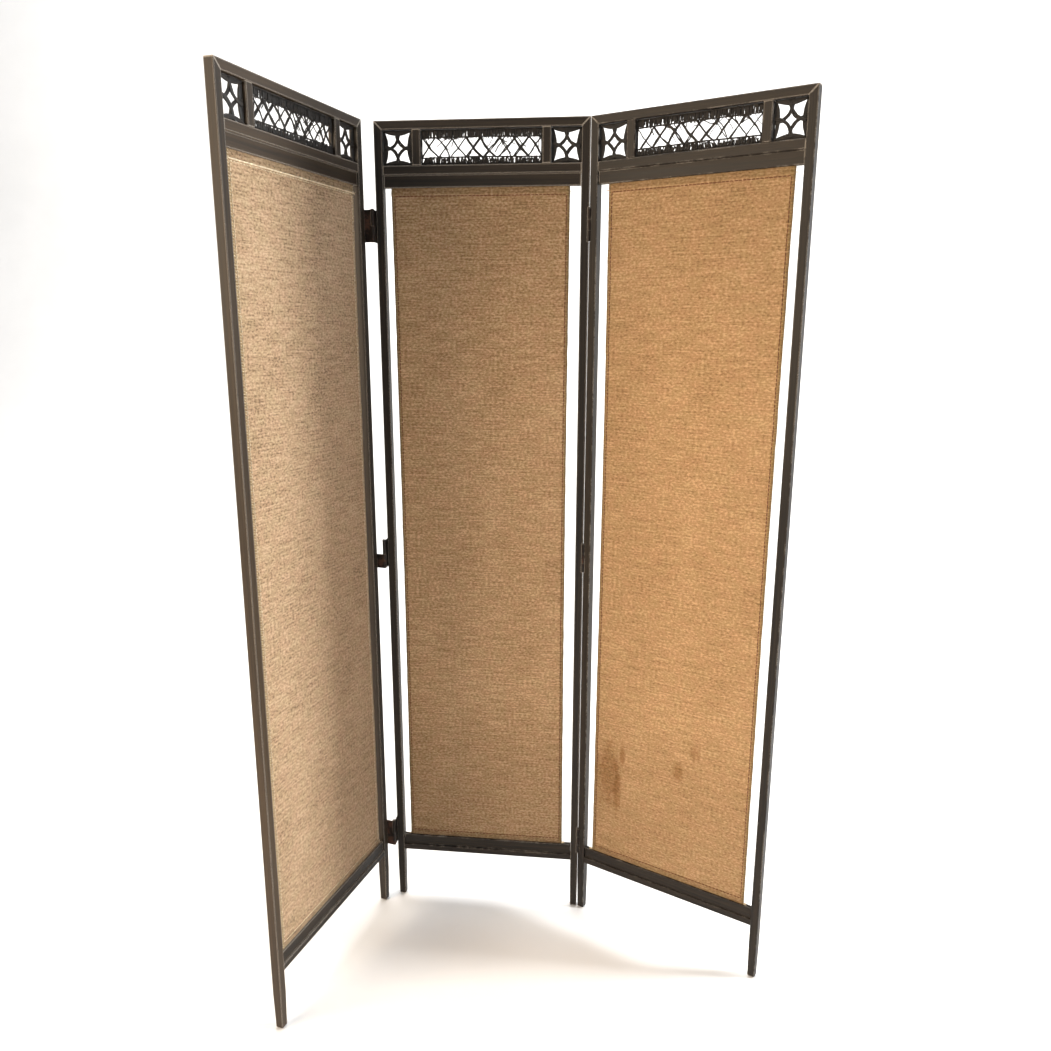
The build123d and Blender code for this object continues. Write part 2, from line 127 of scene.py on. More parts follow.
class WoodSettings(bpy.types.PropertyGroup):
    """Stained wood of the frames."""

    stain_dark: color("Dark stain", "Colour of the stain in the pores and streaks", (0.0072, 0.0048, 0.0029))
    stain_light: color("Light stain", "Colour of the stain between the streaks", (0.027, 0.0182, 0.0108))
    # Colour of rubbed wood, also used as a painted highlight along the edges.
    bare_and_highlight: color("Rubbed wood", "Colour where the stain has worn off", (0.44, 0.385, 0.32))
    # Painted sunlight: a paler stain laid on the left panel's sunlit side, most at its left edge and low
    # down.
    painted_sunlit_stain: color("Faded stain", "Colour of stain that the sun has bleached", (0.11, 0.068, 0.033))
    painted_sun_amounts: shares("Fade amounts", "How far the sun has bleached each panel", (0.6, 0.0, 0.0))
    dust: color("Dust", "Colour of dust on upward faces", (0.34, 0.30, 0.25))
    dust_amount: factor("Dust amount", "How much the dust covers", 0.22)
    # Rubbed edges of the wood, partly real rubbing and partly painted highlight where light catches the
    # edges; the sunlit left panel gets the most.
    wear_and_highlight_width: length("Wear width", "How far the wear reaches in from an edge", 0.0042)
    wear_and_highlight_amounts: shares("Wear amounts", "How much of each panel's edges is worn", (1.0, 0.85, 0.55))
    low_wear_and_highlight_amounts: shares("Low wear amounts", "The same for its lower rails", (1.0, 0.51, 0.33))
    scratch_amount: factor("Scratch amount", "How deep the scratches go through the stain", 0.2)
    roughness: factor("Roughness", "Mean roughness of the finish", 0.54)
    gloss: factor("Gloss", "Strength of the finish's mirror reflection", 0.3)


class ClothSettings(bpy.types.PropertyGroup):
    """Coarse woven cloth of the panels."""

    weft_pitch: length("Weft pitch", "Height of one weft yarn", 0.0018)
    warp_pitch: length("Warp pitch", "Distance between warp yarns", 0.0020)
    lump_height: length("Lump height", "Height of the lumps in the weave", 0.0036)
    lump_width: length("Lump width", "Width of the lumps in the weave", 0.0048)
    half_thickness: length("Half thickness", "Half of the cloth's thickness between its yarns", 0.0006)
    lump_relief: length("Lump relief", "How far a lump stands out of the cloth", 0.00040)
    slackness: length("Slackness", "How far the cloth bellies out of its plane", 0.0016)
    draw_in: length("Draw in", "How far each side edge pulls in at mid height", 0.0018)
    yarn_light: color("Light yarn", "Colour of the palest yarns", (0.68, 0.47, 0.29))
    yarn_mid: color("Middle yarn", "Colour of most yarns", (0.51, 0.33, 0.185))
    yarn_dark: color("Dark yarn", "Colour of the darkest yarns", (0.27, 0.165, 0.085))
    # Painted shade in the gaps between yarns.
    gap: color("Gaps", "Colour in the gaps between yarns", (0.14, 0.085, 0.043))
    thread: color("Thread", "Colour of the sewing thread", (0.12, 0.040, 0.020))
    # Also colours the hem roll, where it is a painted highlight.
    pale_thread: color("Pale thread", "Colour of pale binding thread and frays", (0.56, 0.45, 0.31))
    olive_thread: color("Olive thread", "Colour of dark binding thread", (0.17, 0.125, 0.062))
    green_cast: color("Green cast", "Tint of the greener patches", (0.84, 0.90, 0.72))
    red_cast: color("Red cast", "Tint of the redder patches", (1.0, 0.90, 0.84))
    # Painted shade towards the upper and lower end of each cloth.
    painted_end_shade_tint: color("Grime", "Tint of the grime towards the upper and lower end", (0.70, 0.70, 0.70))
    # Painted shade on the hems, the strips next to the battens: the battens' shadow and less light through
    # the doubled cloth.
    painted_hem_shade_tint: color("Hems", "Tint of the doubled cloth of the hems", (0.62, 0.64, 0.60))
    selvedge_tint: color("Selvedges", "Tint of the side edges", (0.66, 0.68, 0.52))
    stain_tint: color("Water stains", "Tint of a water stain", (0.52, 0.37, 0.19))
    sheen: factor("Sheen", "Sheen of the fibres", 0.2)


class FretSettings(bpy.types.PropertyGroup):
    """Bent twigs in the cells under the top rail."""

    twig_radius: length("Twig radius", "Radius of a bent twig", 0.0019)
    stick_radius: length("Stick radius", "Radius of a short stick in the long cell", 0.0014)
    arc_rise: length("Side arc rise", "How far the arc off each side bends into the cell", 0.0070)
    corner_share: factor("Corner arc share", "Reach of the arc round a corner, as a share of the side", 0.55)
    upper_band: length("Upper band", "Height of the upper row of sticks in the long cell", 0.0160)
    lower_band: length("Lower band", "Height of the lower row of sticks in the long cell", 0.0140)
    crossings: crossing_count("Crossings", "Crossed pairs in the long cell", 8)
    wisps: wisp_count("Wisps", "Loose strands in the long cell", 18)
    bark: color("Bark", "Colour of the stained bark", (0.011, 0.0085, 0.0065))
    rubbed: color("Rubbed bark", "Colour where the bark is rubbed", (0.075, 0.058, 0.042))


class HingeSettings(bpy.types.PropertyGroup):
    """Hinge leaves, pins and screws."""

    metal: color("Metal", "Colour of the darkened metal", (0.018, 0.013, 0.010))
    bright: color("Rubbed metal", "Colour of metal rubbed bright", (0.30, 0.26, 0.21))
    rust: color("Rust", "Colour of rust", (0.070, 0.028, 0.014))
    rust_amount: factor("Rust amount", "How much of the metal has rusted", 0.42)


class StageSettings(bpy.types.PropertyGroup):
    """Floor, lights and camera."""

    floor: color("Floor", "Colour of the floor and backdrop", (0.90, 0.895, 0.885))
    camera_place: location("Camera", "Where the camera stands", (0.1600, -1.6088, 1.3709))
    camera_pan: angle("Pan", "Camera's turn from +Y towards +X", math.radians(-6.184))
    camera_pitch: angle("Pitch", "Camera's tilt down", math.radians(12.982))
    camera_roll: angle("Roll", "Camera's roll", math.radians(0.161))
    focal_share: plain("Focal share", "Focal length as a share of the picture's width", FOCAL_SHARE)
    key_power: power("Key light", "Light from the right", 140)
    fill_power: power("Fill light", "Warm light from the left", 115)
    top_power: power("Top light", "Light from above", 30)
    back_power: power("Backdrop light", "Light on the backdrop", 420)
    sky: plain("Sky", "Strength of the light from all round", 0.40)


# Shader graphs
class Wire:
    """A node's output, which can be added, subtracted, multiplied and divided like a number."""

    def __init__(self, graph, socket):
        self.graph = graph
        self.socket = socket

    def __add__(self, other):
        return self.math("ADD", other)

    def __sub__(self, other):
        return self.math("SUBTRACT", other)

    def __rsub__(self, other):
        return self.graph.add("Math", {0: other, 1: self}, operation="SUBTRACT")

    def __mul__(self, other):
        return self.math("MULTIPLY", other)

    def __truediv__(self, other):
        return self.math("DIVIDE", other)

    def math(self, operation, other=0.0):
        """Result of one arithmetic step."""
        return self.graph.add("Math", {0: self, 1: other}, operation=operation)

    def vector_math(self, operation, other, output="Vector"):
        """Result of one step of vector arithmetic."""
        return self.graph.add("VectorMath", {0: self, 1: other}, output, operation=operation)

    def noise(self, scale, detail=2.0, roughness=0.5):
        """Smooth noise from 0 to 1 at these coordinates, with one scale or with a scale along each axis."""
        vector = self
        if isinstance(scale, tuple):
            vector = self.vector_math("MULTIPLY", scale)
            scale = 1.0
        inputs = {"Vector": vector, "Scale": scale, "Detail": detail, "Roughness": roughness}
        return self.graph.add("TexNoise", inputs)

    def ramp(self, low, high, out_low=0.0, out_high=1.0):
        """The value eased from one range to another and held at its ends."""
        inputs = {"Value": self, "From Min": low, "From Max": high, "To Min": out_low, "To Max": out_high}
        return self.graph.add("MapRange", inputs, interpolation_type="SMOOTHSTEP")

    def hump(self):
        """A rounded crest over the value's fraction, 0 at whole numbers and 1 halfway."""
        share = self.math("FRACT")
        return share * (1.0 - share) * 4.0

    def split(self):
        """X, Y and Z of a vector."""
        node = self.graph.node("SeparateXYZ", {"Vector": self})
        return [Wire(self.graph, output) for output in node.outputs]

    def bump(self, distance, strength=1.0):
        """Normal of a surface with this height, which is a share of the distance."""
        return self.graph.add("Bump", {"Height": self, "Distance": distance, "Strength": strength})

    def group(self, name, make, **inputs):
        """Outputs of a node group at these coordinates. The function makes the group on first use."""
        tree = bpy.data.node_groups.get(name) or make(name)
        node = self.graph.node("Group", {"Vector": self, **inputs}, node_tree=tree)
        return {output.name: Wire(self.graph, output) for output in node.outputs}


class Graph:
    """Adds and links the nodes of one shader tree."""

    def __init__(self, tree):
        self.tree = tree

    def feed(self, sockets, values):
        """Link wires to a node's inputs, or set the inputs to plain values."""
        for key, value in values.items():
            if isinstance(value, Wire):
                self.tree.links.new(value.socket, sockets[key])
            elif sockets[key].type == "RGBA":
                sockets[key].default_value = (*value, 1)
            else:
                sockets[key].default_value = value

    def node(self, kind, inputs, **settings):
        """A new node with its settings applied and its inputs fed."""
        node = self.tree.nodes.new(f"ShaderNode{kind}")
        for name, value in settings.items():
            setattr(node, name, value)
        self.feed(node.inputs, inputs)
        return node

    def add(self, kind, inputs, output=0, **settings):
        """One output of a new node."""
        return Wire(self, self.node(kind, inputs, **settings).outputs[output])

    def mix(self, share, first, second, blend="MIX"):
        """Two colours mixed by a share."""
        inputs = {0: share, 6: first, 7: second}
        return self.add("Mix", inputs, 2, data_type="RGBA", blend_type=blend)

    def blend(self, share, first, second):
        """Two values mixed by a share."""
        return self.add("Mix", {0: share, 2: first, 3: second}, data_type="FLOAT")

    def join(self, x, y, z):
        """A vector from its X, Y and Z."""
        return self.add("CombineXYZ", {"X": x, "Y": y, "Z": z})


def new_group(name, inputs, outputs):
    """An empty node group: its graph, the wires of its coordinates and inputs, its outputs' sockets."""
    tree = bpy.data.node_groups.new(name, "ShaderNodeTree")
    for in_out, sockets in (("INPUT", {"Vector": "Vector", **inputs}), ("OUTPUT", outputs)):
        for label, kind in sockets.items():
            tree.interface.new_socket(name=label, in_out=in_out, socket_type=f"NodeSocket{kind}")
    graph = Graph(tree)
    entry = tree.nodes.new("NodeGroupInput").outputs
    leave = tree.nodes.new("NodeGroupOutput").inputs
    axes, *wires = [Wire(graph, entry[label]) for label in ("Vector", *inputs)]
    return graph, axes, wires, leave


def make_grain(name):
    """Stained grain along X: colour, height and streaks."""
    outputs = {"Color": "Color", "Height": "Float", "Streak": "Float"}
    graph, axes, (dark, light), leave = new_group(name, {"Dark": "Color", "Light": "Color"}, outputs)
    sway = graph.join(0.0, axes.noise(9.0, 1.0) * 0.006 + 0.004, 0.004)
    swayed = axes.vector_math("ADD", sway)
    streak = swayed.noise((3.0, 210.0, 210.0), 4.0, 0.62)
    pores = swayed.noise((38.0, 1500.0, 1500.0))
    patches = axes.noise((2.5, 12.0, 12.0))
    tone = (streak * 0.62 + patches * 0.38).ramp(0.34, 0.66)
    shade = tone * pores.ramp(0.30, 0.48, 0.45, 1.0)
    surface = graph.mix(shade, dark, light)
    graph.feed(leave, {"Color": surface, "Height": streak * 0.6 + pores, "Streak": streak})
    return graph.tree


def make_edge_wear_and_highlight(name):
    """Mask of rubbed edges, broken up by noise. On the wood it also paints highlights where light catches the
    edges.
    """
    inputs = {"Width": "Float", "Amount": "Float"}
    graph, axes, (width, amount), leave = new_group(name, inputs, {"Mask": "Float"})
    rounded = graph.add("Bevel", {"Radius": width}, samples=6)
    flat = graph.add("NewGeometry", {}, "Normal")
    turn = 1.0 - rounded.vector_math("DOT_PRODUCT", flat, "Value")
    broken = axes.noise(60.0, 5.0, 0.68) * 0.6 + axes.noise(7.0, 1.0) * 0.4
    rubbed = (broken - (0.80 - amount * 0.55)).ramp(-0.06, 0.10)
    graph.feed(leave, {"Mask": turn.ramp(0.015, 0.14) * rubbed})
    return graph.tree


def make_dust(name):
    """Mask of dust that settles on faces that look up."""
    graph, axes, _, leave = new_group(name, {}, {"Mask": "Float"})
    _, _, up = graph.add("NewGeometry", {}, "Normal").split()
    patchy = axes.noise(90.0, 4.0, 0.6)
    graph.feed(leave, {"Mask": up.ramp(0.35, 0.95) * patchy.ramp(0.35, 0.75)})
    return graph.tree


def make_mottle(name):
    """Soft patches at two scales, from 0 to 1."""
    graph, axes, (scale,), leave = new_group(name, {"Scale": "Float"}, {"Value": "Float"})
    coarse = axes.noise(scale, 3.0, 0.55)
    fine = axes.noise(scale * 6.3, 4.0, 0.6)
    graph.feed(leave, {"Value": coarse * 0.65 + fine * 0.35})
    return graph.tree


YARN_SCALE = 130.0
PICK_STEP = 7.31
END_STEP = 5.17


def make_weave(name):
    """Plain weave with weft along X and warp along Z: tone of each yarn, painted shade in the gaps between
    yarns, and height.
    """
    inputs = {"Weft": "Float", "Warp": "Float"}
    outputs = {"Tone": "Float", "Gap shade": "Float", "Height": "Float"}
    graph, axes, (weft, warp), leave = new_group(name, inputs, outputs)
    x, _, z = axes.split()
    line = z / weft + axes.noise((22.0, 1.0, 60.0)) * 0.3
    row = x / warp + axes.noise((60.0, 1.0, 22.0)) * 0.5
    crest, ridge = line.hump(), row.hump()
    pick, end = line.math("FLOOR"), row.math("FLOOR")
    over = ((pick + end) * 0.5).math("FRACT") * 2.0
    height = graph.blend(over, ridge * (crest * 0.5 + 0.5), crest * (ridge * 0.5 + 0.5))
    along_weft = graph.join(x * YARN_SCALE, pick * PICK_STEP, 0.0).noise(1.0)
    along_warp = graph.join(end * END_STEP, 4.0, z * YARN_SCALE).noise(1.0)
    yarn = graph.blend(over, along_warp, along_weft)
    grain = axes.noise((170.0, 1.0, 270.0), 1.0)
    slub = axes.noise((16.0, 1.0, 290.0), 1.0)
    fibre = axes.noise(1500.0)
    graph.feed(leave, {
        "Tone": yarn * 0.55 + grain * 1.7 + slub * 0.95 + fibre * 0.2 - 1.19,
        "Gap shade": height.ramp(0.05, 0.42, 1.0, 0.0),
        "Height": height + fibre * 0.25,
    })
    return graph.tree


# Materials
def new_material(name):
    """A new material, its graph, the inputs of its Principled shader and a piece's own axes in metres."""
    material = bpy.data.materials.new(name)
    material.use_nodes = True
    graph = Graph(material.node_tree)
    shader = next(node for node in material.node_tree.nodes if node.type == "BSDF_PRINCIPLED")
    return material, graph, shader.inputs, graph.add("TexCoord", {}, "Object")


def panel_axes(axes, panel, grain_up):
    """Coordinates along a panel's own axes, in metres, turned so that X runs along the grain."""
    turn = PLACES[panel].to_3x3().inverted()
    if grain_up:
        turn = Matrix(((0, 0, 1), (1, 0, 0), (0, 1, 0))) @ turn
    shift = -(turn @ PLACES[panel].translation)
    inputs = {"Vector": axes, "Location": shift, "Rotation": turn.to_euler("XYZ")}
    return axes.graph.add("Mapping", inputs, vector_type="POINT")


def mottled(axes, scale):
    """Soft patches from 0 to 1, coarser for a smaller scale."""
    return axes.group("Mottle", make_mottle, Scale=scale)["Value"]


def edge_wear_and_highlight(axes, width, amount):
    """Mask of rubbed edges, as wide as this and for a share of their length. On the wood it also stands for
    painted highlights along the edges.
    """
    return axes.group("Edge wear", make_edge_wear_and_highlight, Width=width, Amount=amount)["Mask"]


# Painted sunlight on the wood: the share left at a panel's right side, and the share the lower rails get.
FAR_SIDE_SHARE = 0.2
LOW_RAIL_SUN_PAINT = 0.1


def painted_sunlight_mask(axes, panel, grain_up, sun_paint):
    """Share of painted sunlight on a panel: most at its left side and, on its uprights, near the floor."""
    left = own_box(panel, "left_stile")[0].x
    right = own_box(panel, "right_stile")[1].x
    along, across, _ = axes.split()
    sideways = (across if grain_up else along).ramp(left, right, sun_paint, FAR_SIDE_SHARE * sun_paint)
    if grain_up:
        return sideways * along.ramp(0.2, 1.6, 1.15, 0.45)
    return sideways


def wood_material(name, panel, grain_up, wood, wear_and_highlight_amount, sun_paint):
    """Dark stained wood with rubbed edges that carry painted highlights, painted sunlight on the streaks of
    the sunlit side, and a little dust.
    """
    material, graph, shader, axes = new_material(name)
    axes = panel_axes(axes, panel, grain_up)
    grain = axes.group("Stained grain", make_grain, Dark=wood.stain_dark, Light=wood.stain_light)
    dust = axes.group("Dust", make_dust)["Mask"]
    scratches = axes.noise((9.0, 520.0, 520.0), 3.0, 0.7).ramp(0.69, 0.78)
    # Rubbed edges, partly real rubbing and partly painted highlight where light catches them, with scratches.
    wear_and_highlight = edge_wear_and_highlight(axes, wood.wear_and_highlight_width, wear_and_highlight_amount)
    rubbed = wear_and_highlight.math("MAXIMUM", scratches * wood.scratch_amount)
    surface = grain["Color"]
    # Painted sunlight: on the sunlit side the streaks turn to a paler stain.
    if sun_paint:
        sunlit_share = painted_sunlight_mask(axes, panel, grain_up, sun_paint)
        surface = graph.mix(grain["Streak"] * sunlit_share, surface, wood.painted_sunlit_stain)
    surface = graph.mix(rubbed * 0.85, surface, wood.bare_and_highlight)
    graph.feed(shader, {
        "Base Color": graph.mix(dust * wood.dust_amount, surface, wood.dust),
        "Roughness": grain["Streak"] * 0.22 + (wood.roughness - 0.11) + rubbed * 0.18,
        "Normal": grain["Height"].bump(0.00016, 0.6),
        "Specular IOR Level": wood.gloss,
    })
    return material


def tinted(shade, tint):
    """A colour times a tint."""
    return [part * share for part, share in zip(shade, tint)]


def stretched(start, end, share):
    """A colour on the way from one to another, or past it."""
    return [first + share * (last - first) for first, last in zip(start, end)]


def yarn_color(axes, weave, cloth, look):
    """Colour of a cloth's yarns, with painted shade in the gaps between them."""
    graph = axes.graph
    patches = (mottled(axes, 6.5) - 0.5) * 0.6
    tone = (weave["Tone"] - 0.5) * look.contrast + patches + 0.5
    middle = tinted(cloth.yarn_mid, look.tint)
    light = tinted(stretched(cloth.yarn_mid, cloth.yarn_light, look.light_share), look.tint)
    dark = tinted(stretched(cloth.yarn_mid, cloth.yarn_dark, look.dark_share), look.tint)
    yarn = graph.mix(tone.ramp(0.02, 0.50), dark, middle)
    yarn = graph.mix(tone.ramp(0.50, 0.90), yarn, light)
    hue = axes.noise((34.0, 1.0, 34.0), 3.0).ramp(0.35, 0.65)
    yarn = graph.mix(0.35, yarn, graph.mix(hue, cloth.green_cast, cloth.red_cast), "MULTIPLY")
    # Painted shade in the gaps between yarns.
    return graph.mix(weave["Gap shade"] * 0.5, yarn, tinted(cloth.gap, look.tint))


HEM_BLUR = 0.0008


def painted_hem_shade_mask(x, z, shape):
    """Painted shade: 1 on a cloth's upper and lower hems and 0 between them."""
    start = shape.hem_line(0)
    slope = (shape.hem_line(shape.width) - start) / shape.width
    upper = (z - x * slope).ramp(start - HEM_BLUR, start + HEM_BLUR)
    lower = z.ramp(shape.seam_z - HEM_BLUR, shape.seam_z + HEM_BLUR, 1.0, 0.0)
    return upper.math("MAXIMUM", lower)


def selvedge_mask(x, shape):
    """1 along a cloth's side edges and 0 between them."""
    inward = x.math("MINIMUM", shape.width - x)
    return inward.ramp(shape.selvedge_width - HEM_BLUR, shape.selvedge_width + HEM_BLUR, 1.0, 0.0)


def painted_end_shade_mask(z, shape):
    """Painted shade: 0 over the middle of a cloth's length, rising to 1 at its ends."""
    from_middle = (z - 0.5 * shape.length).math("ABSOLUTE")
    return from_middle.ramp(0.2 * shape.length, 0.5 * shape.length)


def stain_mask(x, z, ragged, stain):
    """1 in the middle of a water stain, falling to 0 across its ragged rim."""
    away_x = (x - stain.x) / stain.half_width
    away_z = (z - stain.z) / stain.half_height
    away = (away_x * away_x + away_z * away_z).math("SQRT")
    return (away + ragged * 1.5).ramp(1.15, 1.95, 1.0, 0.0)


def cloth_material(name, cloth, shape, look):
    """Coarse natural weave with slubs, painted shade between its yarns, towards its ends and on its hems,
    and, where there are any, water stains.
    """
    material, graph, shader, axes = new_material(name)
    weave = axes.group("Plain weave", make_weave, Weft=cloth.weft_pitch, Warp=cloth.warp_pitch)
    x, _, z = axes.split()
    ragged = axes.noise((45.0, 1.0, 32.0), 4.0, 0.65)
    # Painted shade towards the ends and on the hems; the selvedges and water stains are the cloth's own
    # colour.
    marks = [
        (painted_end_shade_mask(z, shape), look.grime, cloth.painted_end_shade_tint),
        (painted_hem_shade_mask(x, z, shape), 0.6, cloth.painted_hem_shade_tint),
        (selvedge_mask(x, shape), 0.5, cloth.selvedge_tint),
    ]
    for stain in look.stains:
        marks.append((stain_mask(x, z, ragged, stain), stain.strength, cloth.stain_tint))
    surface = yarn_color(axes, weave, cloth, look)
    for mask, strength, tint in marks:
        surface = graph.mix(mask * strength, surface, tint, "MULTIPLY")
    graph.feed(shader, {
        "Base Color": surface,
        "Roughness": 0.92,
        "Sheen Weight": cloth.sheen,
        "Specular IOR Level": 0.15,
        "Normal": weave["Height"].bump(0.0005, 0.8),
    })
    return material


def thread_material(name, shade):
    """Twisted sewing thread."""
    material, graph, shader, axes = new_material(name)
    pale = [min(1.0, 1.9 * part) for part in shade]
    graph.feed(shader, {
        "Base Color": graph.mix(mottled(axes, 140.0).ramp(0.4, 0.68), shade, pale),
        "Roughness": 0.85,
        "Normal": axes.noise(2600.0).bump(0.0001),
    })
    return material


def bark_material(name, fret):
    """Stained bark of the bent twigs, rubbed in patches."""
    material, graph, shader, axes = new_material(name)
    mottle = mottled(axes, 110.0)
    ridges = axes.noise(1300.0, 3.0, 0.6)
    graph.feed(shader, {
        "Base Color": graph.mix(mottle.ramp(0.50, 0.80), fret.bark, fret.rubbed),
        "Roughness": mottle.ramp(0.3, 0.8, 0.5, 0.8),
        "Normal": (ridges + mottle).bump(0.00025),
    })
    return material


def hinge_material(name, hinge, rust_shift):
    """Darkened metal with rust in patches and bright rubbed edges."""
    material, graph, shader, axes = new_material(name)
    limit = 0.72 - 0.42 * hinge.rust_amount - rust_shift
    rust = mottled(axes, 60.0).ramp(limit, limit + 0.12)
    surface = graph.mix(rust, hinge.metal, hinge.rust)
    graph.feed(shader, {
        "Base Color": graph.mix(edge_wear_and_highlight(axes, 0.0009, 0.75) * 0.8, surface, hinge.bright),
        "Metallic": (1.0 - rust) * 0.5,
        "Roughness": rust * 0.38 + 0.42,
        "Normal": axes.noise(900.0, 4.0, 0.6).bump(0.00018, 0.7),
    })
    return material


def floor_material(name, shade):
    """Plain pale floor with a faint unevenness."""
    material, graph, shader, axes = new_material(name)
    mottle = mottled(axes, 0.8).ramp(0.35, 0.65)
    surface = graph.mix(mottle, shade, [0.96 * part for part in shade])
    graph.feed(shader, {"Base Color": surface, "Roughness": 0.8})
    return material


def paint(node, material):
    """Give a CAD node a material of its own in place of the one it came with."""
    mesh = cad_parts[node].data
    mesh.materials.clear()
    mesh.materials.append(material)


# Meshes
class MeshParts:
    """Collects vertices and faces of one piece before it becomes an object."""

    def __init__(self):
        self.vertices = []
        self.faces = []

    def tube(self, points, radii, sides):
        """A closed round tube along points, with a radius at each."""
        points = [Vector(point) for point in points]
        start = len(self.vertices)
        side = None
        for index, point in enumerate(points):
            ahead = points[min(index + 1, len(points) - 1)] - points[max(index - 1, 0)]
            ahead.normalize()
            if side is None:
                side = ahead.orthogonal()
            side = (side - side.dot(ahead) * ahead).normalized()
            other = ahead.cross(side)
            for step in range(sides):
                turn = 2 * math.pi * step / sides
                out = math.cos(turn) * side + math.sin(turn) * other
                self.vertices.append(point + radii[index] * out)
        for ring in range(len(points) - 1):
            for step in range(sides):
                near = start + ring * sides
                following = (step + 1) % sides
                self.faces.append(
                    (near + step, near + following, near + sides + following, near + sides + step)
                )
        last = start + (len(points) - 1) * sides
        self.faces.append(tuple(range(start + sides - 1, start - 1, -1)))
        self.faces.append(tuple(range(last, last + sides)))

    def build(self, name, place, material):
        """The collected parts as a smooth object, placed in the frame."""
        mesh = bpy.data.meshes.new(name)
        mesh.from_pydata(self.vertices, [], self.faces)
        mesh.materials.append(material)
        mesh.shade_smooth()
        piece = bpy.data.objects.new(name, mesh)
        piece.matrix_world = place
        bpy.context.scene.collection.objects.link(piece)
        return piece


# Cloths
@dataclass
class Stain:
    """A water stain: its middle from the cloth's lower left corner, half its size, and its strength."""

    x: float
    z: float
    half_width: float
    half_height: float
    strength: float


@dataclass
class ClothLook:
    """What sets one cloth apart. The upper hem has a height at its left and at its right end."""

    # Tint of the yarn colours; partly painted light: the right cloth's warmer tint is a painted glow of light
    # shining through it from behind.
    tint: tuple
    contrast: float
    dark_share: float
    light_share: float
    # Strength of the painted shade towards the cloth's ends.
    grime: float
    lean: float
    top_hem: tuple
    roll_radius: float = 0.0
    stains: tuple = ()


CLOTH_LOOKS = {
    "left": ClothLook(
        tint=(0.96, 0.99, 1.04), contrast=1.16, dark_share=1.15, light_share=1.0, grime=0.2,
        lean=0.0, top_hem=(0.014, 0.015), roll_radius=0.0014,
    ),
    "center": ClothLook(
        tint=(1.00, 0.96, 0.92), contrast=1.15, dark_share=0.78, light_share=1.22, grime=0.85,
        lean=-0.001, top_hem=(0.012, 0.012),
    ),
    "right": ClothLook(
        # Warmer tint: painted glow of light shining through the cloth from behind.
        tint=(1.00, 0.93, 0.815), contrast=0.97, dark_share=0.82, light_share=1.12, grime=0.6,
        lean=0.004, top_hem=(0.012, 0.012),
        stains=(
            Stain(0.036, 0.215, 0.032, 0.085, 0.55),
            Stain(0.058, 0.185, 0.011, 0.078, 0.60),
            Stain(0.069, 0.272, 0.009, 0.026, 0.60),
            Stain(0.204, 0.273, 0.014, 0.024, 0.55),
            Stain(0.239, 0.323, 0.013, 0.020, 0.40),
        ),
    ),
}


class ClothShape:
    """Where a panel's cloth runs: X from its left edge, Y out of its plane, Z up from its lower end."""

    hem_step = 0.0005
    selvedge_step = 0.0003
    selvedge_width = 0.007
    bottom_hem = 0.013
    grip_fade = 0.12
    edge_ripple = 0.0006

    def __init__(self, panel, cloth, look):
        self.seed = 11.3 * PANELS.index(panel)
        self.cloth = cloth
        self.lean = look.lean
        self.top_hem = look.top_hem
        low, high = own_box(panel, "woven_cloth")
        self.width = high.x - low.x
        self.length = high.z - low.z
        self.bottom_edge = own_box(panel, "lower_batten")[1].z - low.z
        self.top_edge = own_box(panel, "upper_batten")[0].z - low.z
        self.seam_z = self.bottom_edge + self.bottom_hem
        middle = (low.y + high.y) / 2
        self.place = PLACES[panel] @ Matrix.Translation((low.x, middle, low.z))

    def hem_line(self, x):
        """Height of the upper hem's lower edge, which may slope."""
        left, right = self.top_hem
        return self.top_edge - left - (right - left) * x / self.width

    def held(self, z):
        """0 where a batten grips the cloth, 1 well away from it."""
        near = min(z - self.bottom_edge, self.top_edge - z)
        share = max(0.0, min(1.0, near / self.grip_fade))
        return share * share * (3 - 2 * share)

    def middle(self, x, z):
        """X and Y of the cloth's mid surface, drawn in at its sides and bellied a little."""
        share = 2 * x / self.width - 1
        waist = math.sin(math.pi * max(0.0, min(1.0, z / self.length)))
        ripple = self.edge_ripple * noise.noise((5.0 * share, 38 * z, self.seed))
        pulled = x - share * (self.cloth.draw_in * waist + ripple * self.held(z))
        pulled += self.lean * (z / self.length - 0.5)
        belly = noise.noise((2.6 * x, 1.9 * z, self.seed + 3))
        belly += 0.35 * noise.noise((9 * x, 7 * z, self.seed + 5))
        return pulled, self.cloth.slackness * self.held(z) * belly

    def thickness(self, x, z):
        """Half thickness without the yarns' relief."""
        half = self.cloth.half_thickness
        if min(x, self.width - x) < self.selvedge_width:
            half += self.selvedge_step
        if z > self.hem_line(x) or z < self.seam_z:
            half += self.hem_step
        return half

    def off_face(self, x, z, face, lift):
        """A point that stands a lift off the cloth's front (face -1) or back (face 1)."""
        across, belly = self.middle(x, z)
        return across, belly + face * (self.thickness(x, z) + lift), z


def even_steps(span, pitch):
    """Places from 0 to a span in equal steps of about a pitch."""
    count = round(span / pitch)
    return [span * step / count for step in range(count + 1)]


